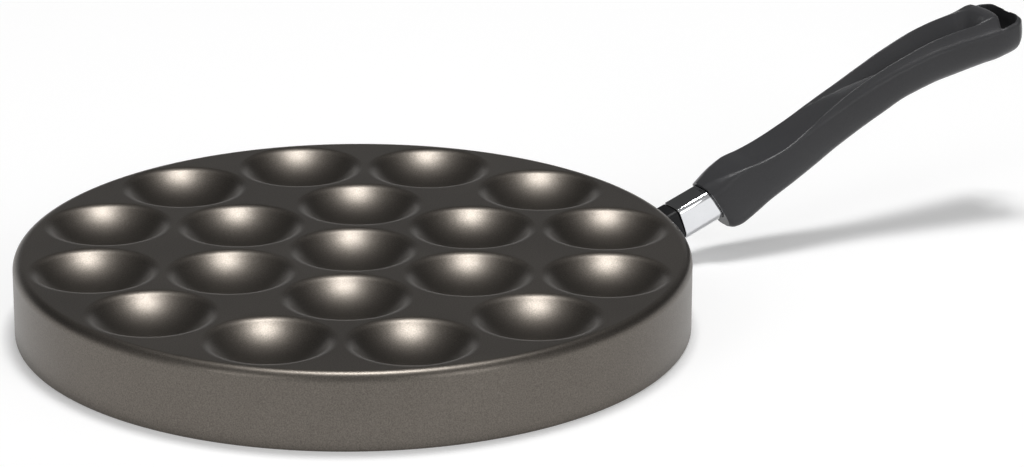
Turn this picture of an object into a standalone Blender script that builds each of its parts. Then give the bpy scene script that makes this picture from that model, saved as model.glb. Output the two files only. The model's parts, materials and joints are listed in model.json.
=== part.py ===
# Poffertjes pan: a cast pan body with nineteen cups, and a moulded grip held by one long screw.
# Metres, +Z up, handle along +X, origin at the middle of the footprint on the surface it stands on.

import math

import bmesh
import bpy
from mathutils import Matrix, Vector

# General clearance between pieces that touch or fit in each other
CLEARANCE = 0.0003
# How far a cutter, or a body that is trimmed afterwards, runs past the surface it crosses
OVERRUN = 0.010
# Edges sharper than this stay sharp in the shading
SHARP_ANGLE = math.radians(35)
# The smallest corner radius that is still rounded
SMALLEST_CORNER = 0.0004

# Pan body
PAN_RADIUS = 0.130
PAN_HEIGHT = 0.030
SKIRT_WALL = 0.0028
DECK_WALL = 0.0030
SHOULDER_RADIUS = 0.0040
FOOT_RADIUS = 0.0010
INNER_FOOT_RADIUS = 0.0006
PAN_SEGMENTS = 84

# Cups: a rounded lip that runs tangent into a shallow spherical bowl
CUP_MOUTH_RADIUS = 0.0254
CUP_LIP_RADIUS = 0.0065
CUP_BOWL_RADIUS = 0.0385
CUP_SPACING = 0.0011
CUP_LAND = 0.0004
CUP_SEGMENTS = 20
CUP_UNDERSIDE_SEGMENTS = 14

# Handle axis: leaves the skirt at this height and climbs at this angle
AXIS_HEIGHT = 0.0126
AXIS_SLOPE = math.radians(20.0)

# Bracket: a foot on the skirt, a block, and a spigot that the flame guard and the grip slide on
FOOT_WIDTH = 0.034
FOOT_HEIGHT = 0.0185
FOOT_THICKNESS = 0.0030
FOOT_CORNER = 0.0045
BLOCK_LENGTH = 0.0150
BLOCK_INSET = 0.0003
SPIGOT_REACH = 0.0400

# Rivets through foot and skirt
RIVET_RADIUS = 0.0020
RIVET_HEAD_RADIUS = 0.0036
RIVET_HEAD_HEIGHT = 0.0015
RIVET_TAIL_CHAMFER = 0.0007
RIVET_OFFSET = 0.0118
RIVET_SEGMENTS = 20

# Flame guard: a chrome-plated sleeve with a flat top
GUARD_WIDTH = 0.0134
GUARD_HEIGHT = 0.0150
GUARD_DROP = 0.0016
GUARD_WALL = 0.0010
GUARD_TOP_CORNER = 0.0014
GUARD_BOTTOM_CORNER = 0.0054
GUARD_SEAT = 0.0035

# Grip
GRIP_START = 0.0319
GRIP_LENGTH = 0.1545

# Finger trough in the top of the grip, and the hanging eye behind it
TROUGH_START_SHARE = 0.31
TROUGH_END_WALL = 0.0160
TROUGH_END_CORNER = 0.0080
TROUGH_WALL_RUN = 0.0010
TROUGH_HEADROOM = 0.004
BRIDGE_WIDTH = 0.0055
EYE_RIM = 0.0019
EYE_SWEEP = 0.0033
EYE_CUTTER_REACH = 0.030
# The eye narrows downwards with the belly: height over the axis, share of the width
EYE_NARROWING = ((-EYE_CUTTER_REACH, 0.52), (-0.0085, 0.52), (-0.0055, 0.74), (-0.0015, 0.92), (0.0030, 1.0),
                 (EYE_CUTTER_REACH, 1.0))

# Long screw that pulls grip, flame guard and bracket together
SCREW_LEAN = math.radians(4.0)
SCREW_RADIUS = 0.0025
SCREW_LENGTH = 0.050
SCREW_TIP = 0.0240
HEAD_RADIUS = 0.00425
HEAD_HEIGHT = 0.0033
SCREW_CHAMFER = 0.0004
SCREW_SEGMENTS = 24
SLOT_WIDTH = 0.0012
SLOT_DEPTH = 0.0016
WASHER_RADIUS = 0.0045
WASHER_THICKNESS = 0.0010
LOCK_WASHER_RADIUS = 0.0042
LOCK_WASHER_THICKNESS = 0.0012
LOCK_WASHER_GAP = 0.0009
POCKET_LENGTH = 0.060


# Places that follow from the sizes above
OUTER_RING_RADIUS = PAN_RADIUS - SHOULDER_RADIUS - CUP_LAND - CUP_MOUTH_RADIUS
INNER_RING_RADIUS = 2 * CUP_MOUTH_RADIUS + CUP_SPACING
# Two cups need this much between their middles, so that a land of flat deck stays between them
CUP_PITCH = 2 * CUP_MOUTH_RADIUS + CUP_LAND
GRIP_END = GRIP_START + GRIP_LENGTH
GUARD_START = BLOCK_LENGTH + CLEARANCE
GUARD_END = GRIP_START + GUARD_SEAT
SPIGOT_INSET = GUARD_WALL + CLEARANCE
HEAD_SEAT = (SCREW_TIP + SCREW_LENGTH + WASHER_THICKNESS + LOCK_WASHER_THICKNESS
             + 2 * CLEARANCE)


# Grip loft: share of the grip's length, half width, edge height, rise of the banks above the edges,
# width of the banks, depth of the trough, underside, radius of the upper edges, and how far the
# section leans along the axis for its height.
# Share and lean are plain ratios, and the sizes are written in the table's own unit, a millimetre.
TABLE_UNIT = 0.001
LEAN_COLUMN = 8
GRIP_STATIONS = (
    (0.000, 8.3, 5.6, 2.2, 3.6, 0.0, -14.6, 2.0, -0.23),
    (0.014, 8.9, 6.3, 1.9, 3.5, 0.0, -15.8, 3.0, -0.21),
    (0.040, 9.3, 7.5, 1.2, 2.6, 0.0, -16.4, 3.2, -0.18),
    (0.070, 9.5, 8.4, 0.5, 1.4, 0.0, -15.9, 2.2, -0.13),
    (0.100, 9.6, 8.6, 0.2, 0.6, 0.0, -15.1, 1.2, -0.09),
    (0.150, 9.9, 7.7, 0.1, 0.3, 0.0, -13.2, 0.8, -0.04),
    (0.220, 10.1, 7.1, 0.3, 0.4, 0.0, -11.5, 0.8, 0.00),
    (0.300, 9.7, 7.8, 1.1, 1.1, 0.0, -9.5, 0.8, 0.00),
    (0.380, 9.1, 9.4, 2.1, 2.1, 1.0, -7.4, 0.8, 0.00),
    (0.460, 9.0, 10.6, 2.8, 2.9, 2.6, -5.7, 0.8, 0.00),
    (0.540, 9.6, 11.5, 3.3, 3.4, 4.8, -4.2, 0.8, 0.02),
    (0.620, 10.8, 12.1, 3.6, 3.9, 7.0, -2.7, 0.8, 0.06),
    (0.700, 12.1, 11.8, 4.1, 4.5, 8.6, -3.0, 0.8, 0.11),
    (0.780, 13.5, 10.4, 4.3, 5.0, 9.2, -4.4, 0.8, 0.16),
    (0.860, 14.7, 8.2, 4.3, 5.4, 9.2, -6.0, 0.8, 0.18),
    (0.905, 15.5, 7.1, 5.0, 5.8, 9.0, -7.1, 0.8, 0.20),
    (0.930, 15.6, 6.8, 4.4, 6.2, 8.8, -7.4, 0.8, 0.20),
    (0.960, 15.2, 6.4, 3.0, 5.6, 8.0, -7.8, 0.9, 0.21),
    (0.983, 12.6, 6.0, 1.6, 4.6, 6.0, -7.1, 0.9, 0.21),
    (0.996, 7.4, 5.1, 0.2, 3.0, 4.0, -5.4, 0.8, 0.21),
    (1.000, 3.6, 4.2, 0.1, 1.4, 3.0, -3.0, 0.6, 0.21),
)
BELLY_POWER = 3.0

# Where the loft's rings stand: by hand at the nose, evenly along the middle, bunched at the round end
NOSE_SHARES = (0.0, 0.012, 0.030)
MIDDLE_START_SHARE = 0.055
MIDDLE_RINGS = 22
END_START_SHARE = 0.91
END_RINGS = 8
BELLY_STEPS = 14
TROUGH_RINGS = 22
EYE_STEPS = 10


def clear_scene():
    for obj in list(bpy.data.objects):
        bpy.data.objects.remove(obj, do_unlink=True)


def material(name, colour, roughness, metallic):
    made = bpy.data.materials.new(name)
    made.use_nodes = True
    shader = made.node_tree.nodes["Principled BSDF"]
    shader.inputs["Base Color"].default_value = (*colour, 1.0)
    shader.inputs["Roughness"].default_value = roughness
    shader.inputs["Metallic"].default_value = metallic
    return made


def new_object(name, mesh_builder, finish, parent):
    bm = mesh_builder()
    bmesh.ops.recalc_face_normals(bm, faces=bm.faces)
    mesh = bpy.data.meshes.new(name)
    bm.to_mesh(mesh)
    bm.free()
    mesh.shade_smooth()
    mesh.set_sharp_from_angle(angle=SHARP_ANGLE)
    obj = bpy.data.objects.new(name, mesh)
    bpy.context.scene.collection.objects.link(obj)
    obj.parent = parent
    if finish is not None:
        mesh.materials.append(finish)
    return obj


def cutter(name, mesh_builder, parent):
    obj = new_object(name, mesh_builder, None, parent)
    obj.hide_render = True
    obj.display_type = "WIRE"
    return obj


def boolean(obj, other, operation):
    step = obj.modifiers.new(other.name, "BOOLEAN")
    step.operation = operation
    step.solver = "EXACT"
    step.object = other


def empty(name, parent, matrix):
    obj = bpy.data.objects.new(name, None)
    bpy.context.scene.collection.objects.link(obj)
    obj.parent = parent
    obj.matrix_local = matrix
    return obj


# Shape helpers

def arc(centre, radius, start, end, steps):
    """Points of an arc in a plane, angles in radians, both ends included."""
    points = []
    for i in range(steps + 1):
        angle = start + (end - start) * i / steps
        points.append((centre[0] + radius * math.cos(angle), centre[1] + radius * math.sin(angle)))
    return points


def rounded_outline(width, height, top_corner, bottom_corner, steps=4):
    """Outline across and up, centred, with its own corner radius above and below."""
    half_w = width / 2
    half_h = height / 2
    quarter = math.pi / 2
    points = arc((half_w - top_corner, half_h - top_corner), top_corner, 0, quarter, steps)
    points += arc((-half_w + top_corner, half_h - top_corner), top_corner, quarter, 2 * quarter, steps)
    points += arc((-half_w + bottom_corner, -half_h + bottom_corner), bottom_corner,
                  2 * quarter, 3 * quarter, steps)
    points += arc((half_w - bottom_corner, -half_h + bottom_corner), bottom_corner,
                  3 * quarter, 4 * quarter, steps)
    return points


def loft(rings):
    """A closed body through rings of equally many points."""
    bm = bmesh.new()
    made = [[bm.verts.new(point) for point in ring] for ring in rings]
    count = len(rings[0])
    for lower, upper in zip(made, made[1:]):
        for i in range(count):
            j = (i + 1) % count
            bm.faces.new((lower[i], lower[j], upper[j], upper[i]))
    bm.faces.new(made[0])
    bm.faces.new(list(reversed(made[-1])))
    return bm


def prism(outline, start, end):
    """An outline across and up, carried along X."""
    return loft([[(x, across, up) for across, up in outline] for x in (start, end)])


def turned(profile, segments=SCREW_SEGMENTS):
    """A profile of (place along X, radius), turned round X; both ends lie on the axis or are capped."""
    rings = []
    for x, radius in profile:
        rings.append([(x, radius * math.cos(2 * math.pi * i / segments),
                       radius * math.sin(2 * math.pi * i / segments)) for i in range(segments)])
    return loft(rings)


def tube(start, end, outer, inner, segments=SCREW_SEGMENTS):
    """A ring of rectangular section round X."""
    bm = bmesh.new()
    corners = ((start, outer), (end, outer), (end, inner), (start, inner))
    rings = []
    for x, radius in corners:
        rings.append([bm.verts.new((x, radius * math.cos(2 * math.pi * i / segments),
                                    radius * math.sin(2 * math.pi * i / segments)))
                      for i in range(segments)])
    for ring, following in zip(rings, rings[1:] + rings[:1]):
        for i in range(segments):
            j = (i + 1) % segments
            bm.faces.new((ring[i], ring[j], following[j], following[i]))
    return bm


# Pan body

def ring_of_cups(radius, start):
    """As many evenly spaced cups as a ring takes; start is the first one's place in steps."""
    count = int(math.pi / math.asin(CUP_PITCH / 2 / radius))
    angles = [2 * math.pi * (i + start) / count for i in range(count)]
    return [(radius * math.cos(angle), radius * math.sin(angle)) for angle in angles]


def clear_of(centres, others):
    """Those centres that stand at least one cup pitch away from all others."""
    return [centre for centre in centres if all(math.dist(centre, other) >= CUP_PITCH for other in others)]


def cup_centres():
    """The outer ring is full; the inner ring and the middle take the cups that clear it."""
    outer = ring_of_cups(OUTER_RING_RADIUS, 0.5)
    inner = clear_of(ring_of_cups(INNER_RING_RADIUS, 0.0), outer)
    middle = clear_of([(0.0, 0.0)], inner + outer)
    return middle + inner + outer


def cup_profile(lip, bowl, lip_steps, bowl_steps):
    """Radius and depth below the deck, from the mouth to just short of the middle."""
    steepest = math.asin(CUP_MOUTH_RADIUS / (lip + bowl))
    points = []
    for i in range(lip_steps + 1):
        angle = steepest * i / lip_steps
        points.append((CUP_MOUTH_RADIUS - lip * math.sin(angle), lip * (1 - math.cos(angle))))
    total = (lip + bowl) * (1 - math.cos(steepest))
    for i in range(1, bowl_steps):
        angle = steepest * (1 - i / bowl_steps)
        points.append((bowl * math.sin(angle), total - bowl * (1 - math.cos(angle))))
    return points, total


def add_ring(bm, centre, radius, z, segments):
    return [bm.verts.new((centre[0] + radius * math.cos(2 * math.pi * i / segments),
                          centre[1] + radius * math.sin(2 * math.pi * i / segments), z))
            for i in range(segments)]


def bridge(bm, ring, following):
    count = len(ring)
    for i in range(count):
        j = (i + 1) % count
        bm.faces.new((ring[i], ring[j], following[j], following[i]))


def ring_edges(bm, ring):
    edges = []
    for a, b in zip(ring, ring[1:] + ring[:1]):
        edges.append(bm.edges.get((a, b)) or bm.edges.new((a, b)))
    return edges


def add_cups(bm, deck_z, profile, segments):
    """All the cups, hung from a deck; returns the edges of their mouths."""
    points, total = profile
    mouths = []
    for centre in cup_centres():
        rings = [add_ring(bm, centre, radius, deck_z - depth, segments) for radius, depth in points]
        for ring, following in zip(rings, rings[1:]):
            bridge(bm, ring, following)
        middle = bm.verts.new((centre[0], centre[1], deck_z - total))
        last = rings[-1]
        for a, b in zip(last, last[1:] + last[:1]):
            bm.faces.new((a, b, middle))
        mouths += ring_edges(bm, rings[0])
    return mouths


def skirt_profile():
    """Radius and height, from the deck's edge over the shoulder and foot to the underside's edge."""
    quarter = math.pi / 2
    inner = PAN_RADIUS - SKIRT_WALL
    inner_shoulder = SHOULDER_RADIUS - SKIRT_WALL
    under = PAN_HEIGHT - DECK_WALL
    points = arc((PAN_RADIUS - SHOULDER_RADIUS, PAN_HEIGHT - SHOULDER_RADIUS), SHOULDER_RADIUS, quarter, 0, 5)
    points += arc((PAN_RADIUS - FOOT_RADIUS, FOOT_RADIUS), FOOT_RADIUS, 0, -quarter, 2)
    inner_foot = (inner + INNER_FOOT_RADIUS, INNER_FOOT_RADIUS)
    points += arc(inner_foot, INNER_FOOT_RADIUS, -quarter, -2 * quarter, 1)
    points += arc((inner - inner_shoulder, under - inner_shoulder), inner_shoulder, 0, quarter, 2)
    return points


def build_pan():
    bm = bmesh.new()
    rings = [add_ring(bm, (0, 0), radius, z, PAN_SEGMENTS) for radius, z in skirt_profile()]
    for ring, following in zip(rings, rings[1:]):
        bridge(bm, ring, following)
    top = add_cups(bm, PAN_HEIGHT, cup_profile(CUP_LIP_RADIUS, CUP_BOWL_RADIUS, 2, 4), CUP_SEGMENTS)
    under_profile = cup_profile(CUP_LIP_RADIUS - DECK_WALL, CUP_BOWL_RADIUS + DECK_WALL, 1, 3)
    under = add_cups(bm, PAN_HEIGHT - DECK_WALL, under_profile, CUP_UNDERSIDE_SEGMENTS)
    up = Vector((0, 0, 1))
    bmesh.ops.triangle_fill(bm, edges=ring_edges(bm, rings[0]) + top, use_beauty=True, normal=up)
    bmesh.ops.triangle_fill(bm, edges=ring_edges(bm, rings[-1]) + under, use_beauty=True, normal=-up)
    return bm


# Rivets

def rivet_matrix(side):
    """A rivet's axis, square to the skirt, on one side of the handle."""
    angle = math.asin(RIVET_OFFSET / PAN_RADIUS)
    return Matrix.Rotation(side * angle, 4, "Z") @ Matrix.Translation((PAN_RADIUS, 0, AXIS_HEIGHT))


def build_rivet():
    """A rivet along X, its inner head inside the skirt and its outer head on the bracket's foot."""
    inside = -SKIRT_WALL - CLEARANCE
    outside = FOOT_THICKNESS + 2 * CLEARANCE
    dome = [(outside + RIVET_HEAD_HEIGHT * math.sin(a), RIVET_HEAD_RADIUS * math.cos(a))
            for a in (0.0, math.radians(30), math.radians(55), math.radians(78))]
    tail = inside - RIVET_HEAD_HEIGHT
    profile = [(tail, RIVET_HEAD_RADIUS - RIVET_TAIL_CHAMFER), (tail + RIVET_TAIL_CHAMFER, RIVET_HEAD_RADIUS),
               (inside, RIVET_HEAD_RADIUS), (inside, RIVET_RADIUS), (outside, RIVET_RADIUS)] + dome
    return turned(profile, RIVET_SEGMENTS)


def build_rivet_hole():
    bore = RIVET_RADIUS + CLEARANCE
    return turned([(-SKIRT_WALL - OVERRUN, bore), (FOOT_THICKNESS + OVERRUN, bore)], RIVET_SEGMENTS)


# Bracket

def guard_outline(inset):
    """The flame guard's outline, or one that lies inside it by an inset."""
    return [(across, up - GUARD_DROP) for across, up in
            rounded_outline(GUARD_WIDTH - 2 * inset, GUARD_HEIGHT - 2 * inset,
                            max(GUARD_TOP_CORNER - inset, SMALLEST_CORNER),
                            max(GUARD_BOTTOM_CORNER - inset, SMALLEST_CORNER))]


def along_axis(bm):
    """Turns a body made along the handle's axis into the pan's frame."""
    bm.transform(Matrix.Translation((PAN_RADIUS, 0, AXIS_HEIGHT)) @ Matrix.Rotation(-AXIS_SLOPE, 4, "Y"))
    return bm


def build_foot():
    outline = rounded_outline(FOOT_WIDTH, FOOT_HEIGHT, FOOT_CORNER, FOOT_CORNER)
    placed = [(across, up + AXIS_HEIGHT) for across, up in outline]
    return prism(placed, PAN_RADIUS - OVERRUN, PAN_RADIUS + OVERRUN)


def upright_cylinder(radius):
    bm = bmesh.new()
    heights = (-OVERRUN, PAN_HEIGHT + OVERRUN)
    rings = [add_ring(bm, (0, 0), radius, z, 3 * PAN_SEGMENTS) for z in heights]
    bridge(bm, rings[0], rings[1])
    bm.faces.new(rings[0])
    bm.faces.new(rings[1])
    return bm


def build_block():
    return along_axis(prism(guard_outline(BLOCK_INSET), -OVERRUN, BLOCK_LENGTH))


def build_spigot():
    return along_axis(prism(guard_outline(SPIGOT_INSET), BLOCK_LENGTH / 2, SPIGOT_REACH))


# Screw axis: crosses the handle's axis where the grip starts, and leans below it

def screw_frame():
    return (Matrix.Translation((GRIP_START, 0, 0)) @ Matrix.Rotation(SCREW_LEAN, 4, "Y")
            @ Matrix.Translation((-GRIP_START, 0, 0)))


def build_tapped_hole():
    bore = SCREW_RADIUS + CLEARANCE
    bm = turned([(SCREW_TIP - SCREW_RADIUS, bore), (SPIGOT_REACH + OVERRUN, bore)])
    bm.transform(screw_frame())
    return along_axis(bm)


def build_screw():
    tip = SCREW_TIP
    seat = HEAD_SEAT
    chamfer = SCREW_CHAMFER
    profile = [(tip, SCREW_RADIUS - chamfer), (tip + chamfer, SCREW_RADIUS), (seat, SCREW_RADIUS),
               (seat, HEAD_RADIUS), (seat + HEAD_HEIGHT - chamfer, HEAD_RADIUS),
               (seat + HEAD_HEIGHT, HEAD_RADIUS - chamfer)]
    return turned(profile)


def build_screw_slot():
    side = SLOT_WIDTH / 2
    reach = HEAD_RADIUS + OVERRUN
    top = HEAD_SEAT + HEAD_HEIGHT
    outline = [(-side, -reach), (side, -reach), (side, reach), (-side, reach)]
    return prism(outline, top - SLOT_DEPTH, top + OVERRUN)


def build_washer():
    start = HEAD_SEAT - LOCK_WASHER_THICKNESS - WASHER_THICKNESS - 2 * CLEARANCE
    return tube(start, start + WASHER_THICKNESS, WASHER_RADIUS, SCREW_RADIUS + CLEARANCE)


def build_lock_washer():
    start = HEAD_SEAT - LOCK_WASHER_THICKNESS - CLEARANCE
    return tube(start, start + LOCK_WASHER_THICKNESS, LOCK_WASHER_RADIUS, SCREW_RADIUS + CLEARANCE)


def build_lock_washer_split():
    side = LOCK_WASHER_GAP / 2
    reach = LOCK_WASHER_RADIUS + OVERRUN
    return prism([(-side, 0.0), (side, 0.0), (side, reach), (-side, reach)], HEAD_SEAT - OVERRUN, HEAD_SEAT)


def build_guard():
    bm = bmesh.new()
    rings = []
    corners = ((GUARD_START, 0.0), (GUARD_END, 0.0), (GUARD_END, GUARD_WALL), (GUARD_START, GUARD_WALL))
    for x, inset in corners:
        rings.append([bm.verts.new((x, across, up)) for across, up in guard_outline(inset)])
    for ring, following in zip(rings, rings[1:] + rings[:1]):
        bridge(bm, ring, following)
    return bm


# Grip

def smooth_value(stations, share, column):
    """Value of one column at a share of the length, on a monotone cubic through the stations."""
    places = [row[0] for row in stations]
    values = [row[column] for row in stations]
    last = len(places) - 1
    slopes = [(values[i + 1] - values[i]) / (places[i + 1] - places[i]) for i in range(last)]
    tangents = [slopes[0]]
    for i in range(1, last):
        before, after = slopes[i - 1], slopes[i]
        same_way = before * after > 0
        tangents.append(2 * before * after / (before + after) if same_way else 0.0)
    tangents.append(slopes[-1])
    i = max(k for k in range(last) if places[k] <= share or k == 0)
    width = places[i + 1] - places[i]
    x = (share - places[i]) / width
    h00 = (1 + 2 * x) * (1 - x) ** 2
    h10 = x * (1 - x) ** 2
    h01 = x * x * (3 - 2 * x)
    h11 = x * x * (x - 1)
    return h00 * values[i] + h10 * width * tangents[i] + h01 * values[i + 1] + h11 * width * tangents[i + 1]


def grip_section(share):
    """Half width, edge, rise and width of the banks, trough depth, underside and edge radius."""
    sizes = [column for column in range(1, len(GRIP_STATIONS[0])) if column != LEAN_COLUMN]
    return [TABLE_UNIT * smooth_value(GRIP_STATIONS, share, column) for column in sizes]


def grip_lean(share):
    return smooth_value(GRIP_STATIONS, share, LEAN_COLUMN)


def leaning(share, outline):
    """Places an outline across and up at a share of the grip's length, with the lean of its section."""
    x = GRIP_START + share * GRIP_LENGTH
    lean = grip_lean(share)
    return [(x + lean * up, across, up) for across, up in outline]


def grip_ring(share):
    """Outline of the grip across its axis: a rim between two banks, a soft edge, and a full belly."""
    half_width, edge, rise, bank, _, under, radius = grip_section(share)
    reach = half_width - radius
    rim = min(half_width - bank, reach - SMALLEST_CORNER)
    soft = radius * (1 - math.sqrt(0.5))
    bank_foot = edge + rise * (half_width - reach) / max(bank, radius)
    points = [(reach, bank_foot), (rim, edge + rise), (-rim, edge + rise), (-reach, bank_foot)]
    points.append((-half_width + soft, edge - soft))
    depth = edge - radius - under
    for i in range(BELLY_STEPS + 1):
        angle = math.pi * i / BELLY_STEPS
        c, s = math.cos(angle), math.sin(angle)
        across = -half_width * math.copysign(abs(c) ** (2 / BELLY_POWER), c)
        points.append((across, edge - radius - depth * abs(s) ** (2 / BELLY_POWER)))
    points.append((half_width - soft, edge - soft))
    return leaning(share, points)


def loft_shares():
    """Rings close together at the nose and at the round end, and evenly spaced between."""
    step = (END_START_SHARE - MIDDLE_START_SHARE) / MIDDLE_RINGS
    middle = [MIDDLE_START_SHARE + step * i for i in range(MIDDLE_RINGS)]
    left = 1 - END_START_SHARE
    end = [END_START_SHARE + left * math.sin(math.pi / 2 * i / END_RINGS) for i in range(END_RINGS + 1)]
    return [*NOSE_SHARES, *middle, *end]


def build_grip():
    return loft([grip_ring(share) for share in loft_shares()])


def trough_ring(x):
    """The trough across the grip at a place on its axis: steep walls and a flat floor, open above."""
    share = (x - GRIP_START) / GRIP_LENGTH
    half_width, edge, rise, bank, depth, _, _ = grip_section(share)
    to_end = GRIP_END - TROUGH_END_WALL - x
    inside = min(1.0, to_end / TROUGH_END_CORNER)
    half = half_width - bank - TROUGH_END_CORNER * (1 - math.sqrt(1 - (1 - inside) ** 2))
    rim = edge + rise
    floor = rim - max(depth, SMALLEST_CORNER)
    floor_half = max(half - TROUGH_WALL_RUN, SMALLEST_CORNER)
    above = rim + TROUGH_HEADROOM
    return leaning(share, [(half, above), (-half, above), (-half, rim), (-floor_half, floor),
                           (floor_half, floor), (half, rim)])


def build_trough():
    """A boat-shaped cutter: shallow at its start, deep and with a round end at the bridge."""
    start = GRIP_START + TROUGH_START_SHARE * GRIP_LENGTH
    length = GRIP_END - TROUGH_END_WALL - start
    places = [length * math.sin(math.pi / 2 * i / TROUGH_RINGS) for i in range(TROUGH_RINGS + 1)]
    return loft([trough_ring(start + along) for along in places])


def end_half_width(x):
    share = (x - GRIP_START) / GRIP_LENGTH
    return grip_section(share)[0]


def build_eye():
    """The hanging eye: its front bows round the bridge, its sides and back keep a thin rim."""
    middle = GRIP_END - TROUGH_END_WALL + BRIDGE_WIDTH
    start = middle - EYE_SWEEP
    end = GRIP_END - EYE_RIM
    side = []
    for i in range(EYE_STEPS + 1):
        x = start + (end - start) * math.sin(math.pi / 2 * i / EYE_STEPS)
        side.append((x, max(end_half_width(min(x + EYE_RIM / 2, GRIP_END)) - EYE_RIM, SMALLEST_CORNER)))
    widest = side[0][1]
    shares = [2 * i / EYE_STEPS - 1 for i in range(EYE_STEPS)]
    front = [(middle - EYE_SWEEP * share ** 2, widest * share) for share in shares]
    outline = front + side + [(x, -half) for x, half in reversed(side[1:])]
    lean = grip_lean(1.0)
    return loft([[(x + lean * up, across * width, up) for x, across in outline]
                 for up, width in EYE_NARROWING])


def build_guard_recess():
    return prism(guard_outline(-CLEARANCE), GRIP_START - OVERRUN, GUARD_END + CLEARANCE)


def build_socket():
    return prism(guard_outline(SPIGOT_INSET - CLEARANCE), GRIP_START - OVERRUN, SPIGOT_REACH + CLEARANCE)


def build_screw_bore():
    bore = SCREW_RADIUS + CLEARANCE
    pocket = WASHER_RADIUS + CLEARANCE
    seat = SCREW_TIP + SCREW_LENGTH - CLEARANCE
    bm = turned([(GRIP_START, bore), (seat, bore), (seat, pocket), (seat + POCKET_LENGTH, pocket)], 24)
    bm.transform(screw_frame())
    return bm


def build_all():
    clear_scene()
    coating = material("bronze_nonstick", (0.16, 0.14, 0.125), 0.30, 0.9)
    bracket_black = material("black_coated_metal", (0.02, 0.02, 0.021), 0.45, 0.6)
    chrome = material("chrome_plate", (0.75, 0.76, 0.77), 0.12, 1.0)
    phenolic = material("black_phenolic", (0.03, 0.03, 0.032), 0.42, 0.0)
    steel = material("zinc_plated_steel", (0.55, 0.55, 0.54), 0.35, 1.0)
    aluminium = material("rivet_aluminium", (0.62, 0.62, 0.61), 0.38, 1.0)

    root = empty("pan_axis", None, Matrix.Identity(4))
    slope = Matrix.Translation((PAN_RADIUS, 0, AXIS_HEIGHT)) @ Matrix.Rotation(-AXIS_SLOPE, 4, "Y")
    axis = empty("handle_axis", root, slope)
    screw_axis = empty("screw_axis", axis, screw_frame())

    pan = new_object("pan_body", build_pan, coating, root)

    bracket = new_object("handle_bracket", build_foot, bracket_black, root)
    skin = PAN_RADIUS + CLEARANCE
    boolean(bracket, cutter("foot_skin_cutter", lambda: upright_cylinder(skin + FOOT_THICKNESS), root),
            "INTERSECT")
    boolean(bracket, cutter("block_body", build_block, root), "UNION")
    boolean(bracket, cutter("spigot_body", build_spigot, root), "UNION")
    boolean(bracket, cutter("skirt_cutter", lambda: upright_cylinder(skin), root), "DIFFERENCE")
    boolean(bracket, cutter("tapped_hole_cutter", build_tapped_hole, root), "DIFFERENCE")

    for side, name in ((-1, "right"), (1, "left")):
        rivet_axis = empty("rivet_axis_" + name, root, rivet_matrix(side))
        new_object("bracket_rivet_" + name, build_rivet, aluminium, rivet_axis)
        hole = cutter("rivet_hole_cutter_" + name, build_rivet_hole, rivet_axis)
        boolean(pan, hole, "DIFFERENCE")
        boolean(bracket, hole, "DIFFERENCE")

    new_object("flame_guard", build_guard, chrome, axis)

    grip = new_object("handle", build_grip, phenolic, axis)
    boolean(grip, cutter("trough_cutter", build_trough, axis), "DIFFERENCE")
    boolean(grip, cutter("eye_cutter", build_eye, axis), "DIFFERENCE")
    boolean(grip, cutter("guard_recess_cutter", build_guard_recess, axis), "DIFFERENCE")
    boolean(grip, cutter("socket_cutter", build_socket, axis), "DIFFERENCE")
    boolean(grip, cutter("screw_bore_cutter", build_screw_bore, axis), "DIFFERENCE")

    screw = new_object("handle_screw", build_screw, steel, screw_axis)
    boolean(screw, cutter("screw_slot_cutter", build_screw_slot, screw_axis), "DIFFERENCE")
    new_object("screw_washer", build_washer, steel, screw_axis)
    lock_washer = new_object("lock_washer", build_lock_washer, steel, screw_axis)
    split = cutter("lock_washer_split_cutter", build_lock_washer_split, screw_axis)
    boolean(lock_washer, split, "DIFFERENCE")

    # The origin is the middle of the footprint, so the pan's axis moves back by half the overhang
    reach = max((slope @ vertex.co).x for vertex in grip.data.vertices)
    root.location.x = -(reach - PAN_RADIUS) / 2


build_all()
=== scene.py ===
# %% [markdown]
# # A poffertjes pan in a white studio
# The construction is already there: nine solids at their real size, loaded as a fixed frame.
# This lesson gives each of them its fine surface and its finish, and sets up the camera and lamps for a
# photograph of the pan.
# Every place below is read from the frame or from a named size. Sizes are in metres, apart from the
# table of the grip's stations, which is in millimetres.

import json
import math

import bmesh
import bpy
from mathutils import Matrix, Vector


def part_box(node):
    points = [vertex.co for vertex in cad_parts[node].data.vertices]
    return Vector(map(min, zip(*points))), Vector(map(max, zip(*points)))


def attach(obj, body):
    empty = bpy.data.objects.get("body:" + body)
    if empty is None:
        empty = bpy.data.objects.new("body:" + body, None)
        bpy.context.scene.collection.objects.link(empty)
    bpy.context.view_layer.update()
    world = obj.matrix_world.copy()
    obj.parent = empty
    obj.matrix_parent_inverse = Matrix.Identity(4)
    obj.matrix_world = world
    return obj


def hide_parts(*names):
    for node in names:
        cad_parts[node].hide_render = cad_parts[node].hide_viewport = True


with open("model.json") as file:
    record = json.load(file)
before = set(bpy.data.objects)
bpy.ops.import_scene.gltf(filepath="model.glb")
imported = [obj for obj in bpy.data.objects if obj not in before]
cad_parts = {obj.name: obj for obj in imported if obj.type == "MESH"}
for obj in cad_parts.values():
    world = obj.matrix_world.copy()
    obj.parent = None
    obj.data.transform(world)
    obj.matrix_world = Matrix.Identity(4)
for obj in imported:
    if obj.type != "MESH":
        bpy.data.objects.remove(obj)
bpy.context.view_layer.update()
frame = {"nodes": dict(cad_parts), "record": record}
nodes = frame["nodes"]
print("nodes:", ", ".join(sorted(nodes)))

# %% [markdown]
# The pan is round, so its middle and its radius follow from the box of its solid.
# The camera, the lamps and every round piece are placed from that one point.

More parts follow.
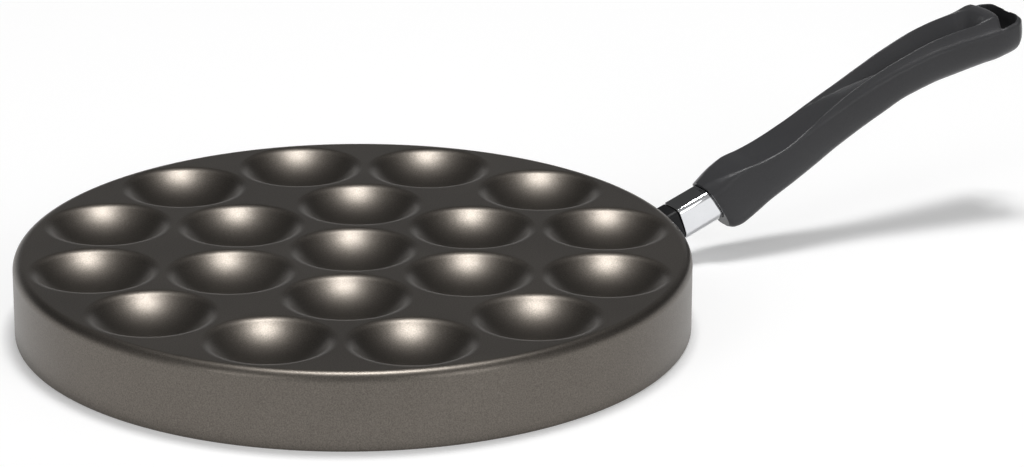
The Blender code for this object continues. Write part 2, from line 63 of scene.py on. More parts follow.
# %% Middle of the pan
pan_low, pan_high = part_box("pan_body")
PAN_X = (pan_low.x + pan_high.x) / 2
PAN_RADIUS = (pan_high.y - pan_low.y) / 2
PAN_HEIGHT = pan_high.z
CENTRE = Vector((PAN_X, 0, 0))
print(f"pan axis at x = {PAN_X:.4f}, radius {PAN_RADIUS:.4f}, height {PAN_HEIGHT:.4f}")

# %% [markdown]
# The photograph is taken with a long lens from a little above, so the cups show as flat ovals.
# The camera stands in front of the pan and the handle points away to the right, 27 degrees behind
# the picture's plane. It is placed by its distance and height, and then turned in three plain
# steps: its heading, its downward tilt and a trace of roll.

# %% Camera
HANDLE_TURN = math.radians(27.1)
CAMERA_DISTANCE = 1.5163
CAMERA_HEIGHT = 0.5813
CAMERA_YAW = math.radians(2.296)
CAMERA_TILT = math.radians(19.775)
CAMERA_ROLL = math.radians(0.26)
SENSOR_WIDTH = 36.0
LENS = 147.9


def from_front(across, away, up):
    """A point given as the photographer sees it: to the right of, behind and above the pan's middle."""
    return CENTRE + Matrix.Rotation(-HANDLE_TURN, 3, "Z") @ Vector((across, away, up))


bpy.ops.object.camera_add(location=from_front(0, -CAMERA_DISTANCE, CAMERA_HEIGHT))
camera = bpy.context.object
turn = (Matrix.Rotation(-HANDLE_TURN - CAMERA_YAW, 4, "Z")
        @ Matrix.Rotation(math.pi / 2 - CAMERA_TILT, 4, "X") @ Matrix.Rotation(CAMERA_ROLL, 4, "Z"))
camera.rotation_euler = turn.to_euler()
camera.data.sensor_width = SENSOR_WIDTH
camera.data.lens = LENS
bpy.context.scene.camera = camera
bpy.context.scene.view_settings.view_transform = "Standard"
print("camera at", [round(v, 3) for v in camera.location])

# %% [markdown]
# Finishes are built from nodes. Wrapping a socket in a small class lets a pattern be written as
# plain sums and products, which is much easier to read than a list of links. Everything that
# isn't arithmetic comes from one method: a node's kind, its settings, then its sockets.

# %% Node arithmetic
class Signal:
    """A socket of a node tree that can be added, subtracted and multiplied."""

    def __init__(self, tree, socket=None):
        self.tree = tree
        self.socket = socket

    def node(self, kind, settings=None, inputs=None, output=0):
        """Adds a node: its settings first, then a value or a signal for each named socket."""
        made = self.tree.nodes.new(kind)
        for name, value in (settings or {}).items():
            setattr(made, name, value)
        for name, value in (inputs or {}).items():
            if isinstance(value, Signal):
                self.tree.links.new(value.socket, made.inputs[name])
            else:
                made.inputs[name].default_value = value
        return Signal(self.tree, made.outputs[output] if len(made.outputs) else None)

    def maths(self, operation, first, second=0.0, clamp=False):
        settings = {"operation": operation, "use_clamp": clamp}
        return self.node("ShaderNodeMath", settings, {0: first, 1: second})

    def clamped(self):
        """The same signal, kept between 0 and 1."""
        return self.maths("ADD", self, 0.0, clamp=True)

    def __add__(self, other):
        return self.maths("ADD", self, other)

    def __radd__(self, other):
        return self.maths("ADD", other, self)

    def __sub__(self, other):
        return self.maths("SUBTRACT", self, other)

    def __rsub__(self, other):
        return self.maths("SUBTRACT", other, self)

    def __mul__(self, other):
        return self.maths("MULTIPLY", self, other)

    def __rmul__(self, other):
        return self.maths("MULTIPLY", other, self)


def new_finish(name):
    """An empty material, as a start for its signals."""
    made = bpy.data.materials.new(name)
    made.use_nodes = True
    made.node_tree.nodes.clear()
    return made, Signal(made.node_tree)


def colour_between(start, amount, low, high):
    """A colour that runs from low to high as amount runs from 0 to 1."""
    return start.node("ShaderNodeMix", {"data_type": "RGBA"},
                      {0: amount, 6: (*low, 1.0), 7: (*high, 1.0)}, output=2)


def noise(start, where, scale, detail=2.0, roughness=0.5):
    """A cloudy pattern; its marks are about one metre divided by scale across."""
    return start.node("ShaderNodeTexNoise", {}, {"Vector": where, "Scale": scale, "Detail": detail,
                                                 "Roughness": roughness})


def object_place(start):
    """The place on the piece in metres, which keeps a pattern at its real size."""
    return start.node("ShaderNodeTexCoord", output=3)


def relief(start, pattern, strength, depth):
    """Tilts the surface along a pattern, for the Normal socket."""
    return start.node("ShaderNodeBump", {}, {"Strength": strength, "Distance": depth, "Height": pattern})


def surface(start, **sockets):
    """Puts a Principled shader at the end of a material; socket names are written with underscores."""
    inputs = {name.replace("_", " "): value for name, value in sockets.items()}
    shader = start.node("ShaderNodeBsdfPrincipled", {}, inputs)
    start.node("ShaderNodeOutputMaterial", {}, {"Surface": shader})


print("node arithmetic ready")

# %% [markdown]
# The floor is a plain pale sheet. A white cut-out photograph clips it to white, so a little
# light of its own is added where the camera or a reflection looks at it. The lamps stay at a
# plain level and the handle's shadow stays on it.

# %% Floor
FLOOR_SIZE = 12.0
FLOOR_COLOUR = (0.80, 0.80, 0.80, 1.0)
FLOOR_LIFT = 0.27
WHITE = (1.0, 1.0, 1.0, 1.0)

bpy.ops.mesh.primitive_plane_add(size=FLOOR_SIZE, location=(PAN_X, 0, 0))
floor = bpy.context.object
floor.name = "studio_floor"
paper, sheet = new_finish("studio_paper")
seen = sheet.node("ShaderNodeLightPath", output=0)
mirrored = sheet.node("ShaderNodeLightPath", output=3)
lift = (seen + mirrored) * FLOOR_LIFT
glow = sheet.node("ShaderNodeEmission", {}, {"Color": WHITE, "Strength": lift})
matt = sheet.node("ShaderNodeBsdfDiffuse", {}, {"Color": FLOOR_COLOUR})
lit = sheet.node("ShaderNodeAddShader", {}, {0: matt, 1: glow})
sheet.node("ShaderNodeOutputMaterial", {}, {"Surface": lit})
floor.data.materials.append(paper)
print("floor", FLOOR_SIZE, "m wide")

# %% [markdown]
# One softbox hangs high over the pan, a little behind it. It makes the round glow in each cup and
# the long shadow of the handle, and its distance sets how soft that shadow is. Two weaker ones
# stand left and right of the camera and draw the second line along the shoulder.

# %% Lamps
OVERHEAD = dict(spot=(0.105, 0.33, 2.47), width=0.62, depth=0.56, power=38.0)
SIDE_AZIMUTH = math.radians(37)
SIDE_ELEVATION = math.radians(25)
SIDE_DISTANCE = 1.8
SIDE_WIDTH = 0.5
SIDE_DEPTH = 0.8
SIDE_LAMPS = (("left", -1, 3.0), ("right", 1, 4.0))


def softbox(name, spot, width, depth, power):
    """A rectangular lamp, placed as the photographer sees it, facing the foot of the pan's axis."""
    where = from_front(*spot)
    bpy.ops.object.light_add(type="AREA", location=where)
    lamp = bpy.context.object
    lamp.name = name
    lamp.data.shape = "RECTANGLE"
    lamp.data.size = width
    lamp.data.size_y = depth
    lamp.data.energy = power
    lamp.rotation_euler = (CENTRE - where).to_track_quat("-Z", "Y").to_euler()


softbox("overhead_softbox", **OVERHEAD)
reach = SIDE_DISTANCE * math.cos(SIDE_ELEVATION)
rise = SIDE_DISTANCE * math.sin(SIDE_ELEVATION)
for name, side, power in SIDE_LAMPS:
    spot = (side * reach * math.sin(SIDE_AZIMUTH), -reach * math.cos(SIDE_AZIMUTH), rise)
    softbox("side_softbox_" + name, spot, SIDE_WIDTH, SIDE_DEPTH, power)

# %% [markdown]
# A studio isn't the same grey all round. Low down the white sweep stands round the table; above it
# the far end of the room is dark, and the end where the photographer stands is lighter. The flat
# deck mirrors the dark end, and every rounded lip picks up a thin line of the white sweep.

# %% Room
# Levels are shares of white; the sweep's top and its fading edge are sines of the elevation
SWEEP_LEVEL = 0.85
SWEEP_TOP = 0.13
SWEEP_FADE = 0.10
FAR_LEVEL = 0.06
NEAR_LEVEL = 0.38
TURN_TO_FAR = 1.2

room = bpy.data.worlds.new("studio_room")
bpy.context.scene.world = room
room.use_nodes = True
room.node_tree.nodes.clear()
air = Signal(room.node_tree)
direction = air.node("ShaderNodeTexCoord", output=0)
height = air.node("ShaderNodeSeparateXYZ", {}, {0: direction}, output=2)
ahead = air.node("ShaderNodeVectorMath", {"operation": "DOT_PRODUCT"},
                 {0: direction, 1: from_front(0, 1, 0) - CENTRE}, output=1)
low = ((SWEEP_TOP + SWEEP_FADE - height) * (1 / SWEEP_FADE)).clamped()
far = (ahead * TURN_TO_FAR + 0.5).clamped()
upper = far * (FAR_LEVEL - NEAR_LEVEL) + NEAR_LEVEL
level = upper + low * (SWEEP_LEVEL - upper)
walls = air.node("ShaderNodeBackground", {}, {"Color": WHITE, "Strength": level})
air.node("ShaderNodeOutputWorld", {}, {"Surface": walls})
print("room from", FAR_LEVEL, "to", SWEEP_LEVEL)

# %% [markdown]
# The coating is a dark bronze with fine metal flake. The flake is a noise of about half a
# millimetre that lifts the colour and tilts the surface a little; a much wider and fainter noise
# keeps large areas from looking like one flat tone. Each finish is one function, and its darkest
# and lightest colours are the named pair above it.

# %% Coating
BRONZE = ((0.098, 0.087, 0.076), (0.200, 0.180, 0.158))
FLAKE_SCALE = 1900.0
TONE_SCALE = 22.0
COATING_RELIEF = (0.10, 0.0002)


def bronze_coating():
    made, start = new_finish("bronze_nonstick")
    where = object_place(start)
    flake = noise(start, where, FLAKE_SCALE, 2.0, 0.6)
    cloud = noise(start, where, TONE_SCALE, 2.0)
    amount = (flake * 1.5 + cloud * 0.35 - 0.45).clamped()
    colour = colour_between(start, amount, *BRONZE)
    rough = 0.36 + cloud * 0.05
    normal = relief(start, flake, *COATING_RELIEF)
    surface(start, Base_Color=colour, Metallic=1.0, Roughness=rough, Normal=normal)
    return made


print("coating flake every", round(1000 / FLAKE_SCALE, 2), "mm")

# %% [markdown]
# Bracket and grip are both black, one a coated casting and one a moulding. A black surface shows
# little but what it mirrors, so both mirror less than a polished plastic would, and a fine grain
# breaks the mirrored light up. The grip is a touch greyer and smoother than the bracket.

# %% Black pieces
BLACK_SHINE = 0.24
COATED_BLACK = ((0.004, 0.004, 0.005), (0.012, 0.012, 0.013))
COATED_GRAIN_SCALE = 2200.0
COATED_RELIEF = (0.15, 0.0002)
MOULDED_BLACK = ((0.031, 0.031, 0.032), (0.060, 0.060, 0.064))
MOULDED_GRAIN_SCALE = 2400.0
MOULDED_TONE_SCALE = 40.0
MOULDED_RELIEF = (0.25, 0.0003)


def black_metal():
    made, start = new_finish("black_coated_metal")
    where = object_place(start)
    grain = noise(start, where, COATED_GRAIN_SCALE, 2.0)
    colour = colour_between(start, grain, *COATED_BLACK)
    normal = relief(start, grain, *COATED_RELIEF)
    surface(start, Base_Color=colour, Metallic=0.0, Roughness=0.42 + grain * 0.1,
            Specular_IOR_Level=BLACK_SHINE, Normal=normal)
    return made


def black_phenolic():
    made, start = new_finish("black_phenolic")
    where = object_place(start)
    grain = noise(start, where, MOULDED_GRAIN_SCALE, 3.0, 0.6)
    cloud = noise(start, where, MOULDED_TONE_SCALE, 2.0)
    amount = (grain * 0.7 + cloud * 0.3).clamped()
    colour = colour_between(start, amount, *MOULDED_BLACK)
    normal = relief(start, grain, *MOULDED_RELIEF)
    surface(start, Base_Color=colour, Metallic=0.0, Roughness=0.28 + cloud * 0.06,
            Specular_IOR_Level=BLACK_SHINE, Normal=normal)
    return made


print("mirror level of the black pieces:", BLACK_SHINE, "where 0.5 is usual")

# %% [markdown]
# The flame guard is chrome plated: almost a mirror, with a trace of haze. The screw with its washers
# is zinc plated and the rivets are bare aluminium. These are duller, and differ only in their tone
# and their roughness, so they share one function.

# %% Bright metals
CHROME = ((0.74, 0.75, 0.77), (0.82, 0.83, 0.85))
CHROME_HAZE_SCALE = 180.0
ZINC = ((0.46, 0.46, 0.45), (0.62, 0.62, 0.60))
ALUMINIUM = ((0.52, 0.52, 0.51), (0.70, 0.70, 0.69))
METAL_HAZE_SCALE = 900.0


def chrome_plate():
    made, start = new_finish("chrome_plate")
    haze = noise(start, object_place(start), CHROME_HAZE_SCALE, 3.0)
    colour = colour_between(start, haze, *CHROME)
    surface(start, Base_Color=colour, Metallic=1.0, Roughness=0.05 + haze * 0.05)
    return made


def plain_metal(name, tones, rough):
    made, start = new_finish(name)
    haze = noise(start, object_place(start), METAL_HAZE_SCALE, 3.0)
    colour = colour_between(start, haze, *tones)
    surface(start, Base_Color=colour, Metallic=1.0, Roughness=rough + haze * 0.12)
    return made


print("bright metals: chrome, zinc and aluminium")

# %% [markdown]
# The frame's record names a slot for every solid. One finish is made for each slot, and every solid
# gets its own, which its finer piece will take over.

# %% Finishes on the solids
finishes = {
    "nonstick_coating": bronze_coating(),
    "black_metal": black_metal(),
    "chrome_plate": chrome_plate(),
    "black_phenolic": black_phenolic(),
    "screw_steel": plain_metal("zinc_plated_steel", ZINC, 0.26),
    "rivet_metal": plain_metal("plain_aluminium", ALUMINIUM, 0.30),
}
for part in frame["record"]["subparts"]:
    mesh = nodes[part["node"]].data
    mesh.materials.clear()
    mesh.materials.append(finishes[part["material_slot"]])
print("finishes:", ", ".join(finishes))

# %% [markdown]
# A few helpers for the modelling. Blender's operators act on whatever is selected, so every step
# starts from a clean selection. A finished piece has its place in its mesh, replaces its plain
# solid and rides on the pan's only body.

# %% Modelling helpers
MERGE_DISTANCE = 0.00001
SMOOTH_ANGLE = math.radians(35)


def only(obj):
    """Selects one object and nothing else."""
    if bpy.context.mode != "OBJECT":
        bpy.ops.object.mode_set(mode="OBJECT")
    bpy.ops.object.select_all(action="DESELECT")
    obj.select_set(True)
    bpy.context.view_layer.objects.active = obj
    return obj


def edit(obj, kind="VERT"):
    """Opens an object in edit mode with nothing selected."""
    only(obj)
    bpy.ops.object.mode_set(mode="EDIT")
    bpy.ops.mesh.select_mode(type=kind)
    bpy.ops.mesh.select_all(action="DESELECT")


def select(obj, wanted, kind="verts"):
    """Selects the points, edges or faces for which wanted(element) is true."""
    shape = bmesh.from_edit_mesh(obj.data)
    for element in getattr(shape, kind):
        if wanted(element):
            element.select_set(True)
    bmesh.update_edit_mesh(obj.data)


def apply(obj, kind, **settings):
    """Adds a modifier with its settings and applies it."""
    only(obj)
    step = obj.modifiers.new(kind.lower(), kind)
    for name, value in settings.items():
        setattr(step, name, value)
    bpy.ops.object.modifier_apply(modifier=step.name)


def combine(obj, other, operation="DIFFERENCE"):
    """Cuts another body from this one, adds it, or keeps what both share; the other is removed."""
    apply(obj, "BOOLEAN", operation=operation, solver="EXACT", object=other)
    bpy.data.objects.remove(other)


def tidy(obj):
    """Merges doubled points and turns all faces outwards."""
    edit(obj)
    bpy.ops.mesh.select_all(action="SELECT")
    bpy.ops.mesh.remove_doubles(threshold=MERGE_DISTANCE)
    bpy.ops.mesh.normals_make_consistent(inside=False)
    bpy.ops.object.mode_set(mode="OBJECT")


def place(obj, matrix):
    """Puts a body that was made at the origin in its place, with the place in its mesh."""
    obj.matrix_world = matrix
    only(obj)
    bpy.ops.object.transform_apply(location=True, rotation=True, scale=True)


def hand_over(obj, name, slot, angle=SMOOTH_ANGLE):
    """Names a finished piece, gives it its finish and lets it stand for its solid."""
    only(obj)
    bpy.ops.object.shade_smooth_by_angle(angle=angle)
    obj.name = name + "_fine"
    obj.data.name = obj.name
    obj.data.materials.clear()
    obj.data.materials.append(finishes[slot])
    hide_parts(name)
    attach(obj, "root")
    faces = sum(len(face.vertices) - 2 for face in obj.data.polygons)
    print(f"{obj.name}: {faces} triangles")


print("modelling helpers ready")

# %% [markdown]
# Two ways of making a body come back all the time. A turned body starts as one point, which is
# extruded along a profile and then spun round the upright axis. A lofted body starts as a disc,
# whose face is extruded again and again, each time moved onto the next outline.

# %% Turned and lofted bodies
SEED_SIZE = 0.01


def draw_profile(points):
    """One chain of edges through points of (radius, height), in the plane through the axis."""
    bpy.ops.mesh.primitive_plane_add(size=SEED_SIZE)
    chain = bpy.context.object
    edit(chain)
    select(chain, lambda vert: vert.index > 0)
    bpy.ops.mesh.delete(type="VERT")
    select(chain, lambda vert: True)
    shape = bmesh.from_edit_mesh(chain.data)
    shape.verts.ensure_lookup_table()
    shape.verts[0].co = (points[0][0], 0, points[0][1])
    bmesh.update_edit_mesh(chain.data)
    for (radius, height), (further, higher) in zip(points, points[1:]):
        move = (further - radius, 0, higher - height)
        bpy.ops.mesh.extrude_region_move(TRANSFORM_OT_translate={"value": move})
    return chain


def turned(points, steps):
    """Spins a profile of (radius, height) all the way round the upright axis and closes it."""
    body = draw_profile(points)
    bpy.ops.mesh.select_all(action="SELECT")
    bpy.ops.mesh.spin(steps=steps, angle=2 * math.pi, center=(0, 0, 0), axis=(0, 0, 1))
    tidy(body)
    return body


def lofted(outlines):
    """A closed body through outlines with equally many points."""
    bpy.ops.mesh.primitive_circle_add(vertices=len(outlines[0]), radius=SEED_SIZE, fill_type="NGON")
    body = bpy.context.object
    edit(body, "FACE")
    bpy.ops.mesh.select_all(action="SELECT")
    for step, outline in enumerate(outlines):
        if step:
            bpy.ops.mesh.extrude_region_move()
        shape = bmesh.from_edit_mesh(body.data)
        cap = next(face for face in shape.faces if face.select)
        for vert, point in zip(cap.verts, outline):
            vert.co = point
        bmesh.update_edit_mesh(body.data)
    tidy(body)
    return body


def arc(centre, radius, start, end, steps):
    """Points of an arc, both ends included, angles in radians."""
    turns = [start + (end - start) * i / steps for i in range(steps + 1)]
    return [(centre[0] + radius * math.cos(a), centre[1] + radius * math.sin(a)) for a in turns]


print("turned and lofted bodies ready")

# %% [markdown]
# The pan body is cast aluminium. Its profile is one line: from the flat deck over the rounded
# shoulder, down the upright skirt, round the foot and up inside. Extra points stand close to each
# end of a straight stretch, so that the smooth shading stays flat there.

# %% Skirt and shoulder
QUARTER = math.pi / 2
SKIRT_WALL = 0.0028
DECK_WALL = 0.0030
SHOULDER_RADIUS = 0.0040
FOOT_RADIUS = 0.0010
INNER_FOOT_RADIUS = 0.0006
SUPPORT = 0.00015
ROUND_STEPS = 240
SHOULDER_STEPS = 16
FOOT_STEPS = 6
INNER_FOOT_STEPS = 4


def skirt_profile():
    """From the deck's edge round the outside to the underside's edge, as (radius, height)."""
    inner = PAN_RADIUS - SKIRT_WALL
    under = PAN_HEIGHT - DECK_WALL
    inner_shoulder = SHOULDER_RADIUS - SKIRT_WALL
    deck_edge = PAN_RADIUS - SHOULDER_RADIUS
    inner_foot = (inner + INNER_FOOT_RADIUS, INNER_FOOT_RADIUS)
    points = [(deck_edge - SUPPORT, PAN_HEIGHT)]
    points += arc((deck_edge, PAN_HEIGHT - SHOULDER_RADIUS), SHOULDER_RADIUS, QUARTER, 0, SHOULDER_STEPS)
    points += [(PAN_RADIUS, PAN_HEIGHT - SHOULDER_RADIUS - SUPPORT), (PAN_RADIUS, FOOT_RADIUS + SUPPORT)]
    points += arc((PAN_RADIUS - FOOT_RADIUS, FOOT_RADIUS), FOOT_RADIUS, 0, -QUARTER, FOOT_STEPS)
    points += arc(inner_foot, INNER_FOOT_RADIUS, -QUARTER, -2 * QUARTER, INNER_FOOT_STEPS)
    points += [(inner, INNER_FOOT_RADIUS + SUPPORT), (inner, under - inner_shoulder - SUPPORT)]
    points += arc((inner - inner_shoulder, under - inner_shoulder), inner_shoulder, 0, QUARTER, FOOT_STEPS)
    points += [(inner - inner_shoulder - SUPPORT, under)]
    return points


pan = turned(skirt_profile(), ROUND_STEPS)
print("skirt profile of", len(skirt_profile()), "points")

# %% [markdown]
# A cup is a shallow bowl that flows into the deck over a rounded lip, so light slides round its
# mouth in a thin ring. The bowl is modelled once, as a turned body, and copied to nineteen places:
# one in the middle, six round it, and twelve along the edge. A second cup hangs below the deck, its
# two radii changed by the wall, because the casting is equally thick all over.

# %% Cups
CUP_MOUTH_RADIUS = 0.0254
CUP_LIP_RADIUS = 0.0065
CUP_BOWL_RADIUS = 0.0385
CUP_SPACING = 0.0011
CUP_LAND = 0.0004
INNER_RING = 6
OUTER_RING = 12
# Steps round the cup, down its lip and down its bowl
CUP_STEPS = (80, 12, 18)
UNDERSIDE_STEPS = (48, 6, 10)


def cup_profile(lip, bowl, deck, lip_steps, bowl_steps):
    """From a hair outside the mouth, over the lip and down the bowl to its middle."""
    steepest = math.asin(CUP_MOUTH_RADIUS / (lip + bowl))
    bottom = deck - (lip + bowl) * (1 - math.cos(steepest))
    points = [(CUP_MOUTH_RADIUS + SUPPORT, deck)]
    for i in range(lip_steps + 1):
        angle = steepest * i / lip_steps
        points.append((CUP_MOUTH_RADIUS - lip * math.sin(angle), deck - lip * (1 - math.cos(angle))))
    for i in range(1, bowl_steps + 1):
        angle = steepest * (1 - i / bowl_steps)
        points.append((bowl * math.sin(angle), bottom + bowl * (1 - math.cos(angle))))
    return points


def cup_centres():
    """The middle of each cup, seen from the pan's axis."""
    inner = 2 * CUP_MOUTH_RADIUS + CUP_SPACING
    outer = PAN_RADIUS - SHOULDER_RADIUS - CUP_LAND - CUP_MOUTH_RADIUS
    places = [(0, 0)]
    places += [(inner, 2 * math.pi * i / INNER_RING) for i in range(INNER_RING)]
    places += [(outer, 2 * math.pi * (i + 0.5) / OUTER_RING) for i in range(OUTER_RING)]
    return [(r * math.cos(a), r * math.sin(a)) for r, a in places]


def copies(body, centres):
    """A copy of a body, with its own mesh, at each centre; the body itself is used up."""
    made = []
    for x, y in centres:
        copy = body.copy()
        copy.data = body.data.copy()
        copy.location = (x, y, 0)
        bpy.context.scene.collection.objects.link(copy)
        made.append(copy)
    bpy.data.objects.remove(body)
    return made


top_cup = turned(cup_profile(CUP_LIP_RADIUS, CUP_BOWL_RADIUS, PAN_HEIGHT, *CUP_STEPS[1:]), CUP_STEPS[0])
under_cup = turned(cup_profile(CUP_LIP_RADIUS - DECK_WALL, CUP_BOWL_RADIUS + DECK_WALL,
                               PAN_HEIGHT - DECK_WALL, *UNDERSIDE_STEPS[1:]), UNDERSIDE_STEPS[0])
cups = copies(top_cup, cup_centres()) + copies(under_cup, cup_centres())
print(len(cups) // 2, "cups, each above and below")

# %% [markdown]
# Skirt and cups are joined, and the flat deck is filled in between their open edges, once above
# and once below. The open edges are found by their height.

# %% Deck
only(pan)
for cup in cups:
    cup.select_set(True)
bpy.ops.object.join()
bpy.ops.object.transform_apply(location=True, rotation=True, scale=True)
for level in (PAN_HEIGHT, PAN_HEIGHT - DECK_WALL):
    edit(pan, "EDGE")
    select(pan, lambda e: e.is_boundary and all(abs(v.co.z - level) < SUPPORT / 2 for v in e.verts), "edges")
    bpy.ops.mesh.fill(use_beauty=True)
tidy(pan)
print("deck filled in at", round(PAN_HEIGHT, 4), "and below it at", round(PAN_HEIGHT - DECK_WALL, 4))

# %% [markdown]
# Two rivets hold the handle's foot, so the skirt has two holes. Their height is read from the box of
# a rivet's solid. The same drill will go through the bracket later, so that the holes line up.

# %% Rivet holes
CLEARANCE = 0.0003
RIVET_RADIUS = 0.0020
RIVET_HEAD_RADIUS = 0.0036
RIVET_HEIGHT = sum(corner.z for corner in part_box("bracket_rivet_left")) / 2
RIVET_OFFSET = 0.0118
DRILL_LENGTH = 0.02
BORE_SIDES = 48


def rivet_axis(side):
    """The middle of a rivet on the skirt's outer face, its +Z pointing out of the pan."""
    angle = side * math.asin(RIVET_OFFSET / PAN_RADIUS)
    return (Matrix.Translation(CENTRE) @ Matrix.Rotation(angle, 4, "Z")
            @ Matrix.Translation((PAN_RADIUS, 0, RIVET_HEIGHT)) @ Matrix.Rotation(QUARTER, 4, "Y"))


def drill_rivet_holes(body):
    """Drills the two rivet holes through a body, each with its clearance."""
    for side in (-1, 1):
        bpy.ops.mesh.primitive_cylinder_add(vertices=BORE_SIDES, radius=RIVET_RADIUS + CLEARANCE,
                                            depth=DRILL_LENGTH)
        drill = bpy.context.object
        place(drill, rivet_axis(side))
        combine(body, drill)


place(pan, Matrix.Translation(CENTRE))
drill_rivet_holes(pan)
hand_over(pan, "pan_body", "nonstick_coating")

# %% [markdown]
# Block, flame guard and grip sit on one axis, which leaves the skirt near its foot and climbs at
# twenty degrees. Bodies on it are made lying along X and then put in place with one matrix.

# %% Handle axis
AXIS_HEIGHT = 0.0126
AXIS_SLOPE = math.radians(20.0)
HANDLE_AXIS = (Matrix.Translation(CENTRE + Vector((PAN_RADIUS, 0, AXIS_HEIGHT)))
               @ Matrix.Rotation(-AXIS_SLOPE, 4, "Y"))
print("handle axis starts at", [round(v, 4) for v in HANDLE_AXIS.translation])

# %% [markdown]
# The grip is a black phenolic moulding. Its outline changes all the way: deep at the nose, slim in
# the middle, wide and flat at the end. Each row below is one place along it, and the values between
# the rows run smoothly, without overshooting.

# %% Grip outlines
GRIP_START = 0.0319
GRIP_LENGTH = 0.1545
GRIP_END = GRIP_START + GRIP_LENGTH
# Share of the length and lean are ratios. The rest is in millimetres: half width, height of the side
# edges, rise of the banks, width of the banks, depth of the trough, underside and edge radius.
GRIP_STATIONS = (
    (0.000, -0.23, 8.3, 5.6, 2.2, 3.6, 0.0, -14.3, 2.6),
    (0.014, -0.21, 8.9, 6.3, 1.9, 3.5, 0.0, -15.7, 3.8),
    (0.040, -0.18, 9.3, 7.5, 1.2, 2.6, 0.0, -16.3, 3.8),
    (0.070, -0.13, 9.5, 8.4, 0.5, 1.4, 0.0, -15.8, 2.6),
    (0.100, -0.09, 9.6, 8.6, 0.2, 0.6, 0.0, -15.0, 1.2),
    (0.150, -0.04, 9.9, 7.7, 0.1, 0.3, 0.0, -13.2, 0.8),
    (0.220, 0.00, 10.1, 7.1, 0.3, 0.4, 0.0, -11.5, 0.8),
    (0.300, 0.00, 9.7, 7.8, 1.1, 1.1, 0.0, -9.5, 1.3),
    (0.380, 0.00, 9.1, 9.4, 2.1, 2.1, 1.0, -7.4, 1.3),
    (0.460, 0.00, 9.0, 10.6, 2.8, 2.9, 2.6, -5.7, 1.3),
    (0.540, 0.02, 9.6, 11.5, 3.3, 3.4, 4.8, -4.2, 1.3),
    (0.620, 0.06, 10.8, 12.1, 3.6, 3.9, 7.0, -2.7, 1.3),
    (0.700, 0.11, 12.1, 11.8, 4.1, 4.5, 8.6, -3.0, 1.3),
    (0.780, 0.16, 13.5, 10.4, 4.3, 5.0, 9.2, -4.4, 1.3),
    (0.860, 0.18, 14.7, 8.2, 4.3, 5.4, 9.2, -6.0, 1.3),
    (0.905, 0.20, 15.5, 7.1, 4.9, 5.8, 9.0, -7.1, 1.3),
    (0.930, 0.20, 15.6, 6.8, 4.2, 6.2, 8.8, -7.4, 1.3),
    (0.960, 0.21, 15.2, 6.4, 2.8, 5.6, 8.0, -7.8, 0.9),
    (0.983, 0.21, 12.6, 6.0, 1.6, 4.6, 6.0, -7.1, 0.9),
    (0.996, 0.21, 7.4, 5.1, 0.2, 3.0, 4.0, -5.4, 0.8),
    (1.000, 0.21, 3.6, 4.2, 0.1, 1.4, 3.0, -3.0, 0.6),
)
COLUMNS = ("lean", "half_width", "edge", "rise", "bank", "depth", "under", "radius")
MILLIMETRE = 0.001


def station(name, share):
    """One size of the grip at any share of its length, on a monotone cubic through the rows."""
    column = 1 + COLUMNS.index(name)
    places = [row[0] for row in GRIP_STATIONS]
    values = [row[column] for row in GRIP_STATIONS]
    last = len(places) - 1
    slopes = [(values[i + 1] - values[i]) / (places[i + 1] - places[i]) for i in range(last)]
    tangents = [slopes[0]]
    for before, after in zip(slopes, slopes[1:]):
        tangents.append(2 * before * after / (before + after) if before * after > 0 else 0.0)
    tangents.append(slopes[-1])
    share = min(max(share, 0.0), 1.0)
    i = max(k for k in range(last) if places[k] <= share or k == 0)
    width = places[i + 1] - places[i]
    x = (share - places[i]) / width
    start = (1 + 2 * x) * (1 - x) ** 2 * values[i] + x * (1 - x) ** 2 * width * tangents[i]
    value = start + x * x * (3 - 2 * x) * values[i + 1] + x * x * (x - 1) * width * tangents[i + 1]
    return value if name == "lean" else value * MILLIMETRE


print(len(GRIP_STATIONS), "stations from", GRIP_START, "to", round(GRIP_END, 4))

# %% [markdown]
# The top of the grip is a height map. From each side edge a slightly hollow bank rises to a rim. At
# the nose low banks round the top off; behind it they flatten out, and the top is one flat face.
# Further back the rims enclose a finger trough with sloping walls and a rounded end, and behind it a
# bridge is left. Where two surfaces meet, the lower one counts, and the crease between them is
# rounded by a chosen amount: that is what the soft minimum does.

# %% Top of the grip
TROUGH_TO_END = 0.0160
TROUGH_END = GRIP_END - TROUGH_TO_END
TROUGH_CORNER = 0.0080
TROUGH_WALL_SLOPE = 1.3
BANK_HOLLOW = 0.60
TOP_ARCH = 0.0001
CREASE = 0.0010
NOSE_CREASE = 0.0030
NOSE_SHARE = 0.10
EYE_TO_END = 0.0105
EYE_FRONT = GRIP_END - EYE_TO_END
EYE_SWEEP = 0.0033
EYE_RIM = 0.0019
EYE_BACK = GRIP_END - EYE_RIM
EYE_CORNER = 0.0010
EYE_ROUND = 0.0008
SMALLEST = 0.0004
HAIR = 0.00001


def soft_minimum(a, b, roundness):
    """The lower of two heights, with the crease between them rounded off."""
    blend = min(max(0.5 + 0.5 * (b - a) / roundness, 0.0), 1.0)
    return b + (a - b) * blend - roundness * blend * (1 - blend)


def rounded_distance(ahead, beside, corner):
    """How far a point lies outside a wide rectangle with rounded corners, negative inside."""
    a, b = ahead + corner, beside + corner
    if a > 0 and b > 0:
        return math.hypot(a, b) - corner
    return max(a, b) - corner


def eye_half_width(x):
    """Half the eye's width, a rim's width inside the side of the grip."""
    share = (min(x + EYE_RIM / 2, GRIP_END) - GRIP_START) / GRIP_LENGTH
    return max(station("half_width", share) - EYE_RIM, SMALLEST)


EYE_WIDEST = eye_half_width(EYE_FRONT - EYE_SWEEP)


